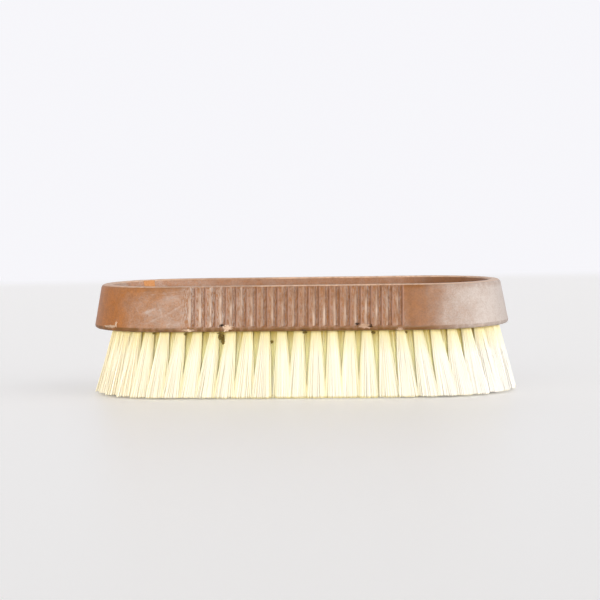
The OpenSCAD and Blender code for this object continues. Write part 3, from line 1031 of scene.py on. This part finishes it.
# Crumbs: place along X, depth below the underside, length and height, in millimetres
CRUMBS = [(-35.3, 0.50, 0.60, 0.40), (-27.5, 0.75, 0.70, 0.50), (-19.3, 0.65, 0.80, 0.35),
          (-18.7, 1.45, 1.50, 1.30), (-18.2, 2.40, 0.90, 1.20), (-6.2, 2.85, 0.60, 0.80),
          (0.6, 0.70, 0.90, 0.35), (1.8, 0.62, 1.10, 0.40), (18.7, 0.75, 0.90, 0.50),
          (25.5, 0.30, 0.40, 0.30), (26.7, 0.80, 0.60, 0.50), (34.3, 5.60, 0.35, 0.45)]
CRUMB_Y = -18.9 * MM
CRUMB_WAVES = [(0.9, 1.7, (5.1, 0, 0)), (0.7, 3.9, (0, 3.3, 0))]


def crumbs(material):
    """Dirt caught between the roots of the front tufts."""
    points, faces = [], []
    for k, (along, below, length, height) in enumerate(CRUMBS):
        lumpy, skin = lumpy_ball(k)
        start = len(points)
        for p in lumpy:
            points.append((along * MM + p[0] * length * MM / 2, CRUMB_Y + p[1] * height * MM / 2,
                           UNDERSIDE - below * MM + p[2] * height * MM / 2))
        faces += [[start + i for i in face] for face in skin]
    piece = mesh_object("dirt_crumbs", points, faces, material, False)
    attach(piece, BODY)


def lumpy_ball(k):
    """Points and faces of a lumpy ball of about radius one."""
    around, down = 14, 9
    points = [(0, 0, 1)]
    for j, i in product(range(1, down), range(around)):
        tilt, turn = math.pi * j / down, 2 * math.pi * i / around
        points.append((math.sin(tilt) * math.cos(turn), math.sin(tilt) * math.sin(turn),
                       math.cos(tilt)))
    points.append((0, 0, -1))
    lumpy = []
    for p in points:
        swell = swollen(Vector(p), CRUMB_WAVES, k)
        lumpy.append([c * swell for c in p])
    faces = [[0, 1 + i, 1 + (i + 1) % around] for i in range(around)]
    for j, i in product(range(down - 2), range(around)):
        a, b = 1 + j * around + i, 1 + j * around + (i + 1) % around
        faces.append([a, a + around, b + around, b])
    last = len(points) - 1
    base = 1 + (down - 2) * around
    faces += [[last, base + (i + 1) % around, base + i] for i in range(around)]
    return lumpy, faces


# Table, backdrop, light and camera

TABLE_COLOURS = ((0.840, 0.835, 0.840), (0.80, 0.80, 0.805))
# From and to where along Y the table turns into the backdrop, and how far it is turned itself
TABLE_EDGE = (0.495, 0.595)
TABLE_TURN = math.radians(5.3)
TABLE_HALF = 3.0
# How much paler than its lit colour the table shows to the camera
TABLE_LIFT = 0.174
LIFT_COLOUR = (1.0, 0.995, 0.990)
BACKDROP_COLOUR = (0.930, 0.925, 0.960)
BACKDROP_Y = 1.6
WORLD_COLOUR = (1.0, 0.985, 0.965)
WORLD_STRENGTH = 0.39


def staging():
    """The table, the backdrop that it turns into, and the world."""
    s = new_material("pale_table")
    along = s.node("SeparateXYZ", Vector=s.node("TexCoord").outputs["Object"]).outputs["Y"]
    fade = s.node("MapRange", {"interpolation_type": "SMOOTHSTEP"}, Value=along,
                  From_Min=TABLE_EDGE[0], From_Max=TABLE_EDGE[1]).outputs[0]
    faint = s.noise(s.place(), 0.004, 2, 0.4)
    colour = s.mix(s.times(faint, 0.12), *TABLE_COLOURS)
    table = s.node("BsdfPrincipled", Base_Color=colour, Roughness=0.42).outputs[0]
    lift = s.node("Emission", Color=LIFT_COLOUR,
                  Strength=s.times(s.seen(), TABLE_LIFT)).outputs[0]
    wall = s.node("Emission", Color=BACKDROP_COLOUR, Strength=1.0).outputs[0]
    s.put(s.join("MixShader", fade, s.join("AddShader", table, lift), wall), s.output)
    corners = [(-TABLE_HALF, -TABLE_HALF, 0), (TABLE_HALF, -TABLE_HALF, 0),
               (TABLE_HALF, BACKDROP_Y, 0), (-TABLE_HALF, BACKDROP_Y, 0)]
    floor = mesh_object("table", corners, [(0, 1, 2, 3)], s.owner, False)
    floor.rotation_euler[2] = TABLE_TURN

    world = bpy.data.worlds.new("studio")
    bpy.context.scene.world = world
    w = Shader(world, "OutputWorld")
    light = w.node("Background", Color=WORLD_COLOUR, Strength=WORLD_STRENGTH).outputs[0]
    plain = w.node("Background", Color=BACKDROP_COLOUR, Strength=1.0).outputs[0]
    w.put(w.join("MixShader", w.seen(), light, plain), w.output)


# Suns: name, direction towards it, angular size in degrees, strength, colour, and whether it
# shines in gloss, which the one from behind doesn't, so that the table stays plain
SUNS = [
    ("key", (0.830, -0.330, 0.420), 60, 0.76, (1.0, 0.985, 0.97), True),
    ("fill", (-0.560, -0.720, 0.400), 70, 0.36, (1.0, 0.985, 0.97), True),
    ("front", (0.105, -0.98, 0.09), 9, 2.05, (1.0, 0.99, 0.98), True),
    ("rear", (-0.250, 0.900, 0.360), 60, 0.55, (1.0, 0.985, 0.97), False),
]


def suns():
    for name, towards, angle, strength, colour, glossy in SUNS:
        data = bpy.data.lights.new(name, "SUN")
        data.angle = math.radians(angle)
        data.energy = strength
        data.color = colour
        lamp = bpy.data.objects.new(name, data)
        lamp.rotation_euler = Vector(towards).to_track_quat("Z", "Y").to_euler()
        lamp.visible_glossy = glossy
        bpy.context.scene.collection.objects.link(lamp)


# Camera fitted to the photograph: focal length in pixels of its 600-pixel frame
FRAME_PX = 600
FOCAL_PX = 2000
DISTANCE = 0.5063
PITCH = math.radians(3.53)
YAW = math.radians(-6.02)
ROLL = math.radians(-1.02)
AIM = Vector((-0.0011, 0, 0.02265))


def camera():
    forward = Vector((math.sin(YAW) * math.cos(PITCH), math.cos(YAW) * math.cos(PITCH),
                      -math.sin(PITCH)))
    right = Vector((math.cos(YAW), -math.sin(YAW), 0))
    up = right.cross(forward)
    across = right * math.cos(ROLL) + up * math.sin(ROLL)
    upward = up * math.cos(ROLL) - right * math.sin(ROLL)
    data = bpy.data.cameras.new("camera")
    data.sensor_width = 36
    data.lens = data.sensor_width * FOCAL_PX / FRAME_PX
    data.clip_start = 0.01
    eye = bpy.data.objects.new("camera", data)
    eye.matrix_world = (Matrix.Translation(AIM - forward * DISTANCE)
                        @ Matrix((across, upward, -forward)).transposed().to_4x4())
    bpy.context.scene.collection.objects.link(eye)
    bpy.context.scene.camera = eye


camera()
suns()
staging()

brown = back_plastic()
back = moulded_back(brown)
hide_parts("back")
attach(back, BODY)
cream = nylon()
for ring in RINGS:
    filaments(ring, cream)
paper_scrap(sticker())
crumbs(grime())
flakes(torn_plastic())
wire = anchor_metal()
for ring in RINGS:
    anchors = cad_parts["anchors_" + ring]
    anchors.data.materials.clear()
    anchors.data.materials.append(wire)

bpy.context.scene.view_settings.view_transform = "Standard"
bpy.context.scene.cycles.max_bounces = 24
bpy.context.scene.cycles.diffuse_bounces = 16
